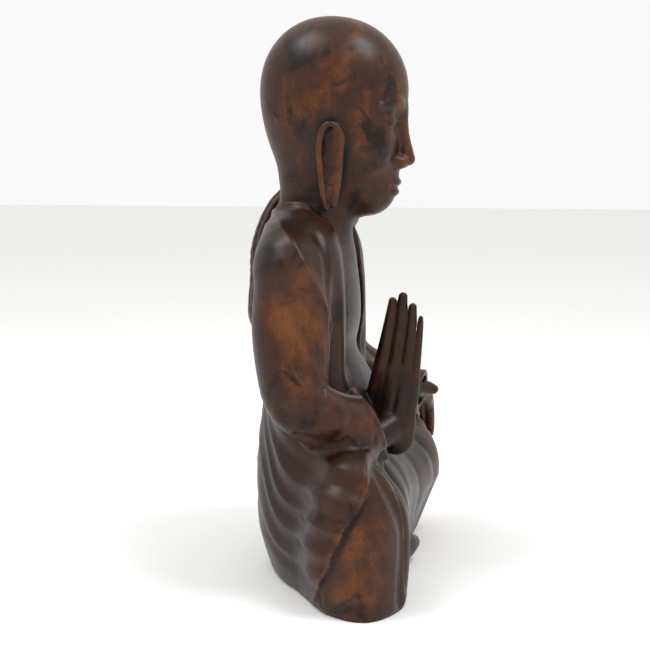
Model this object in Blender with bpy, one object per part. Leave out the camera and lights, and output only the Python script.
"""Wooden buddha statue: one solid, carved as one field and drawn over with one skin.

The figure is a free form, so its pose, proportions and carving are shares of HEIGHT.
Lengths are in metres. The figure faces -Y, its right side is at -X and it stands on z = 0.
"""

import math

import bpy
import numpy as np

HEIGHT = 0.400

# How finely the skin is drawn, in shares of the height, and the faces kept of it.
GRAIN = 0.0052
FACES = 9400
BLOCK = 4
EVEN_ROUNDS = 2
SETTLE_ROUNDS = 2
PROBE = 0.0005


# Forms as fields. A field is negative inside the wood and zero on its surface.
# Points are rows of (x, y, z) in shares of the height, with x = 0 the middle plane,
# the figure facing -y and its right side at -x.

FAR = 0.07


def blend(a, b, soft):
    """Both forms as one, with a fillet about soft wide."""
    share = np.clip(0.5 + 0.5 * (b - a) / soft, 0, 1)
    return b + (a - b) * share - soft * share * (1 - share)


def carve(a, b, soft):
    """Form a with form b cut out of it."""
    return -blend(-a, b, soft)


def meet(a, b, soft):
    """What forms a and b share."""
    return -blend(-a, -b, soft)


def ball(p, centre, radii):
    """An ellipsoid."""
    q = (p - np.array(centre)) / np.array(radii)
    near = np.linalg.norm(q, axis=1)
    slope = np.linalg.norm(q / np.array(radii), axis=1)
    return near * (near - 1) / np.maximum(slope, 1e-9)


def smooth_path(rows, steps=4):
    """Rows along a smooth curve through the given rows."""
    rows = np.array(rows, float)
    if len(rows) == 2:
        return np.array([rows[0] + (rows[1] - rows[0]) * t for t in np.linspace(0, 1, steps + 1)])
    ends = np.vstack([2 * rows[0] - rows[1], rows, 2 * rows[-1] - rows[-2]])
    curve = []
    for a, b, c, d in zip(ends, ends[1:], ends[2:], ends[3:]):
        for t in np.arange(steps) / steps:
            curve.append(b + 0.5 * t * (c - a + t * (2 * a - 5 * b + 4 * c - d + t * (3 * (b - c) + d - a))))
    curve.append(rows[-1])
    return np.array(curve)


def within(p, low, high, reach, exact):
    """exact(points) near a box, and the distance to the box farther off."""
    away = np.linalg.norm(np.maximum(0, np.maximum(low - p, p - high)), axis=1)
    near = away < reach
    field = away + 0.001
    if near.any():
        field[near] = exact(p[near])
    return field


def limb(p, rows, steps=4, flat=None, reach=FAR):
    """A limb through rows of (x, y, z, radius). flat is (axis, share), its section squeezed along axis."""
    path = smooth_path(rows, steps)
    if flat is not None:
        axis = np.array(flat[0]) / np.linalg.norm(flat[0])

    def exact(q):
        best = np.full(len(q), 9.0)
        for a, b in zip(path[:-1], path[1:]):
            run = b[:3] - a[:3]
            out = q - a[:3]
            t = np.clip(out @ run / (run @ run), 0, 1)
            out = out - t[:, None] * run
            if flat is None:
                away = np.sqrt((out * out).sum(axis=1))
            else:
                across = out @ axis
                away = np.sqrt(np.maximum((out * out).sum(axis=1) + across**2 * (flat[1] ** -2 - 1), 0))
            best = np.minimum(best, away - a[3] - t * (b[3] - a[3]))
        return best if flat is None else best * (0.5 + 0.5 * flat[1])

    fat = path[:, 3].max()
    return within(p, path[:, :3].min(axis=0) - fat, path[:, :3].max(axis=0) + fat, reach, exact)


def groove(p, rows, width, steps=4):
    """1 on a line through rows of (x, y, z), easing to 0 at width from it and towards both its ends."""
    path = smooth_path(rows, steps)

    def exact(q):
        best = np.full(len(q), 9.0)
        along = np.zeros(len(q))
        for i, (a, b) in enumerate(zip(path[:-1], path[1:])):
            run = b - a
            t = np.clip((q - a) @ run / (run @ run), 0, 1)
            away = np.linalg.norm(q - a - t[:, None] * run, axis=1)
            nearer = away < best
            best = np.where(nearer, away, best)
            along = np.where(nearer, (i + t) / (len(path) - 1), along)
        ends = np.clip(np.minimum(along, 1 - along) / 0.12, 0, 1)
        return -np.clip(1 - best / width, 0, 1) ** 2 * ends * (2 - ends)

    # within() gives a plain distance far from the line, where the groove is nothing.
    return -np.minimum(0, within(p, path.min(axis=0), path.max(axis=0), width, exact))


def column(p, stations, power):
    """An upright body. Each station is (z, half width, front y, back y)."""
    rows = smooth_path(stations, 6)
    half, front, back = [np.interp(p[:, 2], rows[:, 0], rows[:, i]) for i in (1, 2, 3)]
    deep = (back - front) / 2
    section = np.abs(p[:, 0] / half) ** power + np.abs((p[:, 1] - (front + back) / 2) / deep) ** power
    side = (section ** (1 / power) - 1) * np.minimum(half, deep)
    return np.maximum(side, np.maximum(rows[0, 0] - p[:, 2], p[:, 2] - rows[-1, 0]))


def turn(points, centre, degrees):
    """Points nodded about a sideways axis through centre."""
    angle = math.radians(degrees)
    q = points - np.array(centre)
    y = math.cos(angle) * q[:, 1] - math.sin(angle) * q[:, 2]
    z = math.sin(angle) * q[:, 1] + math.cos(angle) * q[:, 2]
    return np.column_stack([q[:, 0], y, z]) + np.array(centre)


def other_side(p):
    """Points with left and right made one."""
    return np.column_stack([np.abs(p[:, 0]), p[:, 1], p[:, 2]])


# Folds carved in the cloth: (rows of (x, y, z), width, depth).
# Those of the hips and the panels beside the chest are on both sides, the rest on one.
BOTH_SIDES = [
    ([(-0.085, 0.138, 0.330), (-0.140, 0.112, 0.290), (-0.204, 0.050, 0.243), (-0.238, 0.013, 0.229),
      (-0.286, -0.022, 0.225), (-0.321, -0.092, 0.213)], 0.036, 0.016),
    ([(-0.060, 0.148, 0.320), (-0.120, 0.125, 0.285), (-0.163, 0.099, 0.244), (-0.192, 0.079, 0.209),
      (-0.225, 0.046, 0.183), (-0.290, 0.003, 0.176), (-0.340, -0.067, 0.166)], 0.036, 0.018),
    ([(-0.035, 0.151, 0.295), (-0.100, 0.138, 0.262), (-0.150, 0.115, 0.222), (-0.183, 0.094, 0.179),
      (-0.213, 0.064, 0.152), (-0.277, 0.021, 0.143), (-0.343, -0.050, 0.129)], 0.036, 0.017),
    ([(-0.020, 0.152, 0.240), (-0.100, 0.140, 0.205), (-0.155, 0.118, 0.160), (-0.185, 0.092, 0.120),
      (-0.215, 0.062, 0.098), (-0.283, 0.019, 0.091), (-0.341, -0.038, 0.093)], 0.036, 0.016),
    ([(-0.020, 0.150, 0.150), (-0.130, 0.126, 0.105), (-0.200, 0.070, 0.060), (-0.300, 0.002, 0.045)],
     0.030, 0.008),
    ([(-0.140, 0.034, 0.640), (-0.153, 0.014, 0.612), (-0.172, 0.003, 0.572), (-0.196, -0.006, 0.507),
      (-0.204, -0.010, 0.452), (-0.205, -0.015, 0.374), (-0.205, -0.018, 0.350)], 0.026, 0.014),
]
ONE_SIDE = [
    ([(-0.150, 0.073, 0.640), (-0.190, 0.066, 0.610), (-0.221, 0.060, 0.579)], 0.030, 0.007),
    ([(-0.221, 0.063, 0.579), (-0.244, 0.053, 0.538), (-0.261, 0.033, 0.490), (-0.256, 0.014, 0.445),
      (-0.245, -0.003, 0.400), (-0.229, -0.012, 0.376)], 0.026, 0.007),
    ([(-0.235, 0.024, 0.537), (-0.249, 0.015, 0.484), (-0.247, 0.002, 0.429), (-0.235, -0.009, 0.380)],
     0.022, 0.006),
    ([(-0.278, 0.030, 0.415), (-0.262, 0.002, 0.384), (-0.250, -0.016, 0.366)], 0.024, 0.007),
    ([(-0.292, 0.062, 0.346), (-0.287, 0.033, 0.333), (-0.280, 0.004, 0.327), (-0.263, -0.024, 0.330),
      (-0.252, -0.040, 0.342)], 0.026, 0.010),
    ([(-0.236, -0.060, 0.332), (-0.238, -0.057, 0.311), (-0.248, -0.047, 0.297), (-0.252, -0.030, 0.286)],
     0.022, 0.008),
    ([(-0.276, 0.034, 0.296), (-0.264, -0.003, 0.286), (-0.245, -0.040, 0.284), (-0.236, -0.056, 0.292)],
     0.020, 0.006),
    ([(-0.198, -0.098, 0.279), (-0.216, -0.086, 0.273), (-0.232, -0.074, 0.270)], 0.018, 0.006),
    ([(-0.252, -0.100, 0.243), (-0.268, -0.123, 0.214), (-0.267, -0.140, 0.188), (-0.260, -0.154, 0.157),
      (-0.258, -0.158, 0.114), (-0.266, -0.157, 0.040), (-0.268, -0.157, 0.0)], 0.024, 0.011),
    ([(0.254, 0.030, 0.500), (0.262, 0.004, 0.430), (0.250, -0.018, 0.380)], 0.026, 0.007),
    ([(0.292, 0.050, 0.370), (0.294, 0.010, 0.345), (0.284, -0.030, 0.338), (0.264, -0.052, 0.348)],
     0.026, 0.010),
    ([(0.284, -0.048, 0.308), (0.280, -0.075, 0.316), (0.262, -0.088, 0.335)], 0.022, 0.007),
    ([(0.215, -0.135, 0.254), (0.285, -0.140, 0.238), (0.309, -0.146, 0.205), (0.305, -0.155, 0.160),
      (0.285, -0.160, 0.110)], 0.016, 0.006),
    ([(0.200, -0.142, 0.240), (0.262, -0.152, 0.215), (0.275, -0.158, 0.170), (0.262, -0.160, 0.115)],
     0.016, 0.006),
]
# Folds down the front and across the back: (rows of (x, z), width, depth).
FRONT = [
    ([(-0.200, 0.235), (-0.225, 0.180), (-0.238, 0.110), (-0.235, 0.020)], 0.022, 0.008),
    ([(-0.150, 0.255), (-0.180, 0.200), (-0.196, 0.120), (-0.190, 0.010)], 0.028, 0.010),
    ([(-0.105, 0.262), (-0.128, 0.205), (-0.140, 0.120), (-0.128, 0.010)], 0.026, 0.009),
    ([(-0.060, 0.265), (-0.074, 0.210), (-0.082, 0.140), (-0.062, 0.070)], 0.026, 0.010),
    ([(-0.010, 0.265), (-0.010, 0.210), (-0.014, 0.140), (0.004, 0.095)], 0.022, 0.008),
    ([(0.040, 0.265), (0.056, 0.205), (0.066, 0.130), (0.088, 0.010)], 0.028, 0.010),
    ([(0.085, 0.262), (0.112, 0.200), (0.128, 0.120), (0.146, 0.010)], 0.024, 0.008),
    ([(0.130, 0.255), (0.165, 0.200), (0.184, 0.120), (0.196, 0.010)], 0.028, 0.010),
]
BACK = [
    ([(0.000, 0.600), (-0.050, 0.520), (-0.085, 0.430), (-0.100, 0.350)], 0.036, 0.006),
    ([(0.020, 0.520), (-0.020, 0.440), (-0.040, 0.370), (-0.045, 0.310)], 0.036, 0.007),
    ([(-0.060, 0.610), (-0.110, 0.530), (-0.130, 0.440)], 0.034, 0.006),
    ([(0.110, 0.560), (0.120, 0.470), (0.110, 0.380), (0.080, 0.320)], 0.032, 0.007),
]


def folds(p):
    """How deep the cloth is cut at each point."""
    side = np.column_stack([-np.abs(p[:, 0]), p[:, 1], p[:, 2]])
    flat = np.column_stack([p[:, 0], np.zeros(len(p)), p[:, 2]])
    front = np.clip((-0.040 - p[:, 1]) / 0.03, 0, 1) * np.clip((0.29 - p[:, 2]) / 0.03, 0, 1)
    back = np.clip((p[:, 1] - 0.085) / 0.03, 0, 1)
    cut = np.zeros(len(p))
    for rows, width, depth in BOTH_SIDES:
        cut = np.maximum(cut, depth * groove(side, rows, width))
    for rows, width, depth in ONE_SIDE:
        cut = np.maximum(cut, depth * groove(p, rows, width))
    for rows, width, depth in FRONT:
        cut = np.maximum(cut, depth * front * groove(flat, [(x, 0, z) for x, z in rows], width))
    for rows, width, depth in BACK:
        cut = np.maximum(cut, depth * back * groove(flat, [(x, 0, z) for x, z in rows], width))
    return cut


# Head: forms in shares of HEAD_SIZE about HEAD_MIDDLE.
HEAD_MIDDLE = (0.0, 0.008, 0.825)
HEAD_SIZE = 0.35
HEAD_NOD = 5.0
HEAD_BOX = np.array(((-0.13, -0.16, 0.60), (0.13, 0.18, 1.02)))

SKULL = ((0, 0.01, 0.13), (0.30, 0.375, 0.37))
CROWN = ((0, 0.092, 0.158), (0.25, 0.297, 0.318))
NAPE = ((0, 0.090, 0.00), (0.262, 0.268, 0.37))
JAW = ((0, -0.085, -0.15), (0.245, 0.255, 0.33))
CHIN = ((0, -0.21, -0.385), (0.10, 0.115, 0.10))
MUZZLE = ((0, -0.225, -0.29), (0.115, 0.115, 0.13))
CHEEK = ((0.135, -0.20, -0.13), (0.10, 0.11, 0.14))
SOCKET = ((0.115, -0.395, 0.0), (0.095, 0.07, 0.062))
EYE = ((0.115, -0.275, -0.005), (0.070, 0.058, 0.050))
BROW = [(0.03, -0.335, 0.055, 0.014), (0.11, -0.332, 0.098, 0.016), (0.21, -0.26, 0.065, 0.010)]
NOSE = [(0, -0.335, 0.065, 0.022), (0, -0.362, -0.06, 0.026), (0, -0.398, -0.185, 0.033)]
NOSTRIL = ((0.042, -0.360, -0.205), (0.030, 0.036, 0.028))
UPPER_LIP = [(0, -0.352, -0.312, 0.015), (0.035, -0.350, -0.308, 0.016), (0.09, -0.318, -0.325, 0.006)]
LOWER_LIP = [(0, -0.345, -0.356, 0.020), (0.035, -0.340, -0.354, 0.018), (0.08, -0.316, -0.334, 0.006)]
MOUTH = [(-0.09, -0.33, -0.325), (-0.045, -0.358, -0.334), (0, -0.368, -0.332), (0.045, -0.358, -0.334),
         (0.09, -0.33, -0.325)]
LID = [(0.045, -0.33, -0.012), (0.115, -0.335, -0.032), (0.185, -0.29, -0.010)]

# Ears, long-lobed.
EAR = [(0.096, -0.002, 0.786, 0.024), (0.095, -0.001, 0.755, 0.023), (0.089, 0.001, 0.712, 0.020),
       (0.084, 0.003, 0.677, 0.014)]
EAR_FLAT = ((1, 0.22, 0), 0.52)
EAR_RIM = [(0.101, -0.021, 0.776, 0.0035), (0.105, -0.018, 0.796, 0.0048), (0.108, -0.003, 0.809, 0.0055),
           (0.110, 0.012, 0.800, 0.0058), (0.109, 0.018, 0.765, 0.0058), (0.103, 0.016, 0.725, 0.0055),
           (0.097, 0.014, 0.692, 0.0052), (0.092, 0.010, 0.664, 0.0050)]
EAR_HOLLOW = [(0.109, -0.002, 0.795), (0.109, 0.003, 0.770), (0.106, 0.001, 0.745), (0.102, -0.006, 0.730)]
EAR_SLIT = [(0.099, -0.002, 0.705), (0.095, 0.001, 0.682)]

# Trunk and robe.
NECK = [(0, 0.046, 0.58, 0.068), (0, 0.044, 0.70, 0.064)]
TRUNK = [(0.22, 0.145, -0.030, 0.128), (0.34, 0.138, -0.012, 0.122), (0.40, 0.142, -0.024, 0.124),
         (0.46, 0.146, -0.036, 0.128), (0.52, 0.147, -0.034, 0.130), (0.575, 0.138, -0.026, 0.126),
         (0.62, 0.108, -0.011, 0.118), (0.66, 0.070, -0.006, 0.108)]
TRUNK_POWER = 2.0
ROBE = 0.011
LIP = (0.013, 0.0035)
EDGE = 0.006
SHOULDER = [(0.03, 0.064, 0.612, 0.050), (0.10, 0.060, 0.602, 0.052), (0.15, 0.058, 0.57, 0.055)]
PANEL = [(0.070, 0.050, 0.640, 0.034), (0.110, 0.020, 0.602, 0.034), (0.122, 0.008, 0.54, 0.035),
         (0.125, 0.005, 0.46, 0.035), (0.123, 0.004, 0.38, 0.034), (0.118, 0.006, 0.33, 0.030)]
OPENING = 0.092
OPENING_FOOT = 0.33
COLLAR = [(0, 0.030, 0.600, 0.080), (0, 0.046, 0.75, 0.072)]

# Arms in their sleeves, from shoulder to cuff, then what is cut at each cuff.
RIGHT_ARM = [(-0.095, 0.058, 0.600, 0.052), (-0.158, 0.056, 0.562, 0.060), (-0.200, 0.053, 0.48, 0.064),
             (-0.226, 0.043, 0.40, 0.061), (-0.238, 0.030, 0.348, 0.055), (-0.220, -0.008, 0.316, 0.052),
             (-0.172, -0.050, 0.293, 0.054), (-0.115, -0.078, 0.284, 0.061)]
LEFT_ARM = [(0.095, 0.058, 0.600, 0.052), (0.160, 0.058, 0.562, 0.059), (0.203, 0.056, 0.48, 0.061),
            (0.233, 0.046, 0.40, 0.058), (0.245, 0.024, 0.348, 0.051), (0.244, -0.022, 0.319, 0.047),
            (0.238, -0.070, 0.298, 0.044), (0.230, -0.122, 0.286, 0.044)]
RIGHT_CUFF = ((-0.112, -0.070, 0.286), (0.42, -0.78, 0.40))
LEFT_CUFF = ((0.228, -0.130, 0.286), (-0.1, -0.97, -0.15))
RIGHT_HOLLOW = [(-0.145, -0.055, 0.275, 0.028), (-0.065, -0.118, 0.300, 0.054)]
LEFT_HOLLOW = [(0.232, -0.100, 0.292, 0.022), (0.224, -0.160, 0.284, 0.038)]

# Right hand, raised with its palm turned inwards.
HAND_X = -0.060
PALM = [(HAND_X, -0.112, 0.255, 0.034), (HAND_X, -0.108, 0.31, 0.042), (HAND_X, -0.110, 0.352, 0.040)]
PALM_FLAT = ((1, 0, 0), 0.42)
WRIST = [(-0.090, -0.082, 0.262, 0.028), (HAND_X, -0.108, 0.275, 0.030)]
FINGERS = [
    [(-0.070, 0.320, 0.0140), (-0.089, 0.407, 0.0115), (-0.1005, 0.465, 0.0095), (-0.1055, 0.499, 0.0072)],
    [(-0.096, 0.320, 0.0130), (-0.112, 0.407, 0.0120), (-0.120, 0.465, 0.0110), (-0.1240, 0.507, 0.0082)],
    [(-0.120, 0.320, 0.0130), (-0.1330, 0.407, 0.0112), (-0.1395, 0.465, 0.0092), (-0.1415, 0.489, 0.0072)],
    [(-0.141, 0.320, 0.0110), (-0.150, 0.407, 0.0080), (-0.1550, 0.455, 0.0056), (-0.156, 0.470, 0.0042)],
]
FINGER_FLAT = ((1, 0, 0), 0.85)
THUMB = [(-0.048, -0.085, 0.28, 0.014), (-0.040, -0.090, 0.335, 0.012), (-0.038, -0.098, 0.385, 0.0085)]

# Left hand, laid over the knee.
BACK_OF_HAND = [(0.226, -0.106, 0.285, 0.027), (0.262, -0.110, 0.280, 0.034), (0.292, -0.111, 0.262, 0.034)]
HAND_FLAT = ((0.30, 0, 1), 0.42)
KNUCKLE_Y = -0.136
KNUCKLE_STEP = 0.0170
FINGER_ARC = [(0.282, 0.268, 0.0100), (0.316, 0.240, 0.0098), (0.336, 0.200, 0.0090), (0.343, 0.172, 0.0068)]
LEFT_THUMB = [(0.232, -0.112, 0.290, 0.017), (0.246, -0.134, 0.291, 0.0145), (0.252, -0.150, 0.287, 0.0100)]

# Legs folded under the robe: mounds of (x, y, radius) ends in plan, with the height of each end.
LEG_WAIST = 0.105
LEG = ((0.0, 0.030, 0.098, 0.33), (0.248, -0.065, 0.081, 0.250))
SHIN = ((0.222, -0.086, 0.072, 0.215), (0.0, -0.062, 0.068, 0.180))
UNDERCUT = 0.035
UNDERCUT_TOP = 0.12
BACK_TUCK = 0.006
FAR_SWELL = 0.0125
NEAR_FLARE = 0.018
HIPS = ((0, 0.030, 0.17), (0.205, 0.103, 0.25))
LAP = ((0, -0.03, 0.150), (0.23, 0.095, 0.080))
FOOT = [(-0.045, -0.085, 0.028, 0.034), (0.0, -0.112, 0.034, 0.030), (0.027, -0.133, 0.035, 0.0155)]

# Cloth over the legs, and the hem across the near knee.
CLOTH = 0.009
HEM = [(0.00, -0.018), (0.05, -0.030), (0.10, -0.045), (0.15, -0.064), (0.19, -0.088), (0.205, -0.096),
       (0.23, -0.098), (0.27, -0.090)]

# Folded cloth over the left shoulder, and its tail down the back.
SASH = [(0.118, 0.005, 0.632, 0.042), (0.100, 0.066, 0.670, 0.043), (0.078, 0.121, 0.665, 0.045),
        (0.064, 0.147, 0.610, 0.046), (0.060, 0.150, 0.548, 0.047)]
TAIL = [(0.060, 0.146, 0.57, 0.044), (0.057, 0.159, 0.50, 0.048), (0.055, 0.161, 0.470, 0.048)]
SASH_FLAT = ((0.1, 0.85, 0.50), 0.42)
TAIL_FLAT = ((0, 1, 0), 0.45)


def head(p):
    q = (turn(p, HEAD_MIDDLE, -HEAD_NOD) - np.array(HEAD_MIDDLE)) / HEAD_SIZE
    s = other_side(q)
    field = blend(ball(q, *SKULL), ball(q, *CROWN), 0.05)
    field = blend(field, ball(q, *NAPE), 0.08)
    field = blend(field, ball(q, *JAW), 0.10)
    field = blend(field, ball(q, *CHIN), 0.10)
    field = blend(field, ball(s, *CHEEK), 0.08)
    field = blend(field, ball(q, *MUZZLE), 0.08)
    field = carve(field, ball(s, *SOCKET), 0.05)
    field = blend(field, limb(s, BROW), 0.035)
    field = blend(field, ball(s, *EYE), 0.018)
    field = blend(field, limb(q, NOSE), 0.03)
    field = blend(field, ball(s, *NOSTRIL), 0.02)
    field = blend(field, limb(s, UPPER_LIP), 0.016)
    field = blend(field, limb(s, LOWER_LIP), 0.012)
    field += 0.012 * groove(q, MOUTH, 0.022)
    field += 0.010 * groove(s, LID, 0.022)
    return field * HEAD_SIZE


def ear(p):
    field = blend(limb(p, EAR, flat=EAR_FLAT), limb(p, EAR_RIM), 0.005)
    field += 0.007 * groove(p, EAR_HOLLOW, 0.014)
    return field + 0.007 * groove(p, EAR_SLIT, 0.008)


def right_hand(p):
    field = blend(limb(p, PALM, flat=PALM_FLAT), limb(p, WRIST), 0.015)
    for rows in FINGERS:
        field = blend(field, limb(p, [(HAND_X, *row) for row in rows], flat=FINGER_FLAT), 0.004)
    return blend(field, limb(p, THUMB), 0.006)


def left_hand(p):
    field = limb(p, BACK_OF_HAND, flat=HAND_FLAT)
    for i in range(4):
        y = KNUCKLE_Y + KNUCKLE_STEP * i
        short = 0.006 * abs(i - 1)
        rows = [(x, y, z, r) for x, z, r in FINGER_ARC[:-1]]
        x, z, r = FINGER_ARC[-1]
        rows.append((x, y, z + short, r))
        field = blend(field, limb(p, rows), 0.003)
    return blend(field, limb(p, LEFT_THUMB), 0.005)


def sleeve(p, arm, cuff, hollow):
    mouth, facing = [np.array(row) for row in cuff]
    beyond = (p - mouth) @ (facing / np.linalg.norm(facing))
    field = meet(limb(p, arm) - lip(beyond), beyond, EDGE)
    return carve(field, limb(p, hollow), 0.004)


def lip(inwards):
    """How far cloth stands up along its own edge, from the distance in from that edge."""
    width, height = LIP
    return height * np.clip(1 - np.abs(inwards) / width, 0, 1) ** 2


def mound(p, ends):
    """A low form over the line between two (x, y, radius, height) ends, upright below the waist."""
    (ax, ay, ar, ah), (bx, by, br, bh) = ends
    run = np.array([bx - ax, by - ay])
    out = p[:, :2] - np.array([ax, ay])
    t = np.clip(out @ run / (run @ run), 0, 1)
    flat = np.linalg.norm(out - t[:, None] * run, axis=1)
    radius = ar + t * (br - ar)
    tall = ah + t * (bh - ah) - LEG_WAIST
    low = np.clip(LEG_WAIST - p[:, 2], 0, LEG_WAIST) / LEG_WAIST
    radius = radius * (1 - 0.08 * low**2)
    up = np.maximum(0, p[:, 2] - LEG_WAIST) / tall
    section = ((flat / radius) ** 2.3 + up**2.3) ** (1 / 2.3)
    return (section - 1) * np.minimum(radius, tall)


def legs(p):
    low = np.clip(LEG_WAIST - p[:, 2], 0, LEG_WAIST) / LEG_WAIST
    far = np.clip(p[:, 0] / 0.15, 0, 1)
    near = np.clip(-p[:, 0] / 0.15, 0, 1) * np.clip((-0.05 - p[:, 1]) / 0.05, 0, 1)
    swell = FAR_SWELL * np.exp(-(((p[:, 2] - 0.18) / 0.08) ** 2))
    under = np.clip(1 - p[:, 2] / UNDERCUT_TOP, 0, 1)
    back = (UNDERCUT * under - swell) * far * np.clip(-p[:, 1] / 0.08, 0, 1)
    tuck = BACK_TUCK * low**2 * np.clip(p[:, 1] / 0.08, 0, 1)
    out = np.abs(p[:, 0]) - NEAR_FLARE * low**2 * near
    s = np.column_stack([out, p[:, 1] - back + tuck, p[:, 2]])
    field = blend(mound(s, LEG), mound(s, SHIN), 0.012)
    field = blend(field, ball(p, *HIPS), 0.05)
    field = blend(field, ball(p, *LAP), 0.04)
    hem = np.interp(p[:, 2], [row[0] for row in HEM], [row[1] for row in HEM])
    behind = (p[:, 1] - hem) * 0.9
    thick = CLOTH * np.clip(p[:, 2] / 0.08, 0.1, 1)
    robe = meet(field - thick - lip(behind), -behind, EDGE)
    return blend(field, robe, 0.004)


def figure(p):
    s = other_side(p)
    trunk = column(p, TRUNK, TRUNK_POWER)
    bare = blend(within(p, *HEAD_BOX, FAR, head), limb(p, NECK), 0.035)
    bare = blend(bare, ear(s), 0.006)
    bare = blend(trunk, bare, 0.02)
    robe = blend(trunk - ROBE, limb(s, SHOULDER), 0.03)
    robe = blend(robe, limb(s, PANEL), 0.012)
    front = np.maximum(np.abs(p[:, 0]) - OPENING, np.maximum(p[:, 1] - 0.02, OPENING_FOOT - p[:, 2]))
    opening = blend(front, limb(p, COLLAR, reach=0.3), 0.03)
    robe = carve(robe - lip(opening), opening, EDGE)
    field = blend(bare, robe, 0.003)
    field = blend(field, sleeve(p, RIGHT_ARM, RIGHT_CUFF, RIGHT_HOLLOW), 0.006)
    field = blend(field, sleeve(p, LEFT_ARM, LEFT_CUFF, LEFT_HOLLOW), 0.006)
    field = blend(field, legs(p), 0.02) + folds(p)
    field = blend(field, limb(p, FOOT), 0.01)
    field = blend(field, right_hand(p), 0.003)
    field = blend(field, left_hand(p), 0.003)
    cloth = blend(limb(p, SASH, flat=SASH_FLAT), limb(p, TAIL, flat=TAIL_FLAT), 0.004)
    return blend(field, cloth, 0.006)


# Skin: grains fill the field, a volume is drawn over them and its vertices settle on the field.

LOW = (-0.38, -0.20, -0.03)
HIGH = (0.38, 0.22, 1.02)
PROBES = np.array([(1, -1, -1), (-1, -1, 1), (-1, 1, -1), (1, 1, 1)], float)


def grains():
    """Points all through the inside of the figure, one GRAIN apart."""
    starts = [np.arange(low, high, GRAIN * BLOCK) for low, high in zip(LOW, HIGH)]
    blocks = np.stack(np.meshgrid(*starts, indexing="ij"), axis=-1).reshape(-1, 3)
    middle = figure(blocks + GRAIN * (BLOCK - 1) / 2)
    reach = GRAIN * BLOCK * 1.3
    steps = np.stack(np.meshgrid(*[np.arange(BLOCK) * GRAIN] * 3, indexing="ij"), axis=-1).reshape(-1, 3)
    deep = blocks[middle < -reach]
    near = (blocks[np.abs(middle) <= reach][:, None] + steps).reshape(-1, 3)
    inside = near[figure(near) < -0.35 * GRAIN]
    return np.vstack([inside, (deep[:, None] + steps).reshape(-1, 3)])


def wrapped(points):
    """A mesh drawn over points by Blender's points, volume and mesh nodes."""
    cloud = bpy.data.meshes.new("grains")
    cloud.vertices.add(len(points))
    cloud.vertices.foreach_set("co", points.astype(np.float32).ravel())
    holder = bpy.data.objects.new("grains", cloud)
    bpy.context.scene.collection.objects.link(holder)
    tree = bpy.data.node_groups.new("wrap", "GeometryNodeTree")
    tree.interface.new_socket("Geometry", in_out="INPUT", socket_type="NodeSocketGeometry")
    tree.interface.new_socket("Geometry", in_out="OUTPUT", socket_type="NodeSocketGeometry")
    start = tree.nodes.new("NodeGroupInput")
    to_points = tree.nodes.new("GeometryNodeMeshToPoints")
    to_volume = tree.nodes.new("GeometryNodePointsToVolume")
    to_mesh = tree.nodes.new("GeometryNodeVolumeToMesh")
    end = tree.nodes.new("NodeGroupOutput")
    to_volume.resolution_mode = "VOXEL_SIZE"
    to_volume.inputs["Voxel Size"].default_value = GRAIN
    to_volume.inputs["Radius"].default_value = GRAIN * 0.95
    tree.links.new(start.outputs[0], to_points.inputs["Mesh"])
    tree.links.new(to_points.outputs[0], to_volume.inputs["Points"])
    tree.links.new(to_volume.outputs[0], to_mesh.inputs["Volume"])
    tree.links.new(to_mesh.outputs[0], end.inputs[0])
    holder.modifiers.new("wrap", "NODES").node_group = tree
    skin = bpy.data.meshes.new_from_object(holder.evaluated_get(bpy.context.evaluated_depsgraph_get()))
    bpy.data.objects.remove(holder)
    return skin


def settled(points, rounds):
    """Points moved onto the surface of the figure."""
    for _ in range(rounds):
        around = [figure(points + probe * PROBE) for probe in PROBES]
        slope = sum(probe * value[:, None] for probe, value in zip(PROBES, around)) / (4 * PROBE)
        steep = np.maximum((slope * slope).sum(axis=1), 0.05)
        step = (sum(around) / 4 / steep)[:, None] * slope
        long = np.linalg.norm(step, axis=1)
        points = points - step * np.minimum(1, 0.8 * GRAIN / np.maximum(long, 1e-12))[:, None]
    return points


def evened(points, ends):
    """Points moved half way to the mean of their neighbours; ends are the mesh's edges."""
    first, second = ends[:, 0], ends[:, 1]
    count = np.bincount(ends.ravel(), minlength=len(points))
    mean = np.empty_like(points)
    for i in range(3):
        total = np.bincount(first, points[second, i], len(points))
        total += np.bincount(second, points[first, i], len(points))
        mean[:, i] = total / count
    return (points + mean) / 2


def smoothed_skin(points, ends):
    """The skin's points laid on the figure and spread evenly over it."""
    for _ in range(EVEN_ROUNDS):
        points = evened(settled(points, 1), ends)
    return settled(points, SETTLE_ROUNDS)


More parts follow.
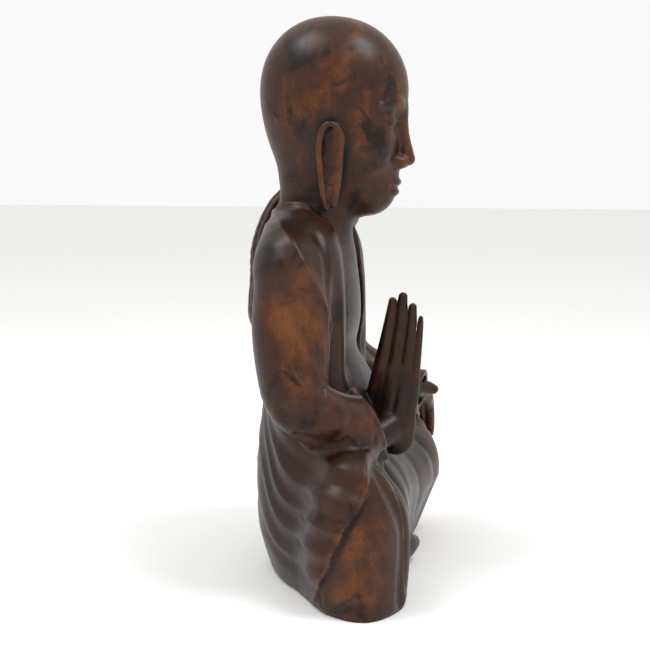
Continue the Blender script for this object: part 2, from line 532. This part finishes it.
def wood():
    """Dark stained and waxed wood."""
    material = bpy.data.materials.new("stained_wood")
    material.use_nodes = True
    shader = material.node_tree.nodes["Principled BSDF"]
    shader.inputs["Base Color"].default_value = (0.09, 0.04, 0.022, 1)
    shader.inputs["Roughness"].default_value = 0.42
    return material


def statue():
    """The figure's skin, thinned to FACES and cut flat on the plane it stands on."""
    skin = wrapped(grains())
    points = np.empty(len(skin.vertices) * 3, np.float32)
    skin.vertices.foreach_get("co", points)
    ends = np.empty(len(skin.edges) * 2, np.int32)
    skin.edges.foreach_get("vertices", ends)
    points = smoothed_skin(points.reshape(-1, 3).astype(float), ends.reshape(-1, 2)) * HEIGHT
    skin.vertices.foreach_set("co", points.astype(np.float32).ravel())
    skin.materials.clear()
    skin.materials.append(wood())
    body = bpy.data.objects.new("statue", skin)
    bpy.context.scene.collection.objects.link(body)
    thin = body.modifiers.new("thin", "DECIMATE")
    thin.ratio = FACES / (2 * len(skin.polygons))
    bpy.ops.mesh.primitive_cube_add(size=HEIGHT * 2, location=(0, 0, -HEIGHT))
    ground = bpy.context.active_object
    ground.name = "ground_cutter"
    ground.hide_render = True
    cut = body.modifiers.new("cut", "BOOLEAN")
    cut.operation = "DIFFERENCE"
    cut.solver = "EXACT"
    cut.object = ground
    return body, ground


def centred(body, ground):
    """The finished mesh with the middle of its underside's box at the origin."""
    mesh = bpy.data.meshes.new_from_object(body.evaluated_get(bpy.context.evaluated_depsgraph_get()))
    bpy.data.objects.remove(body)
    bpy.data.objects.remove(ground)
    points = np.empty(len(mesh.vertices) * 3, np.float32)
    mesh.vertices.foreach_get("co", points)
    points = points.reshape(-1, 3)
    middle = (points.min(axis=0) + points.max(axis=0)) / 2
    middle[2] = points[:, 2].min()
    mesh.vertices.foreach_set("co", (points - middle).ravel())
    mesh.update()
    mesh.name = "statue"
    bpy.context.scene.collection.objects.link(bpy.data.objects.new("statue", mesh))
    print("statue moved by", middle, "to its middle;", len(mesh.polygons), "faces")


for old in list(bpy.data.objects):
    bpy.data.objects.remove(old)

centred(*statue())
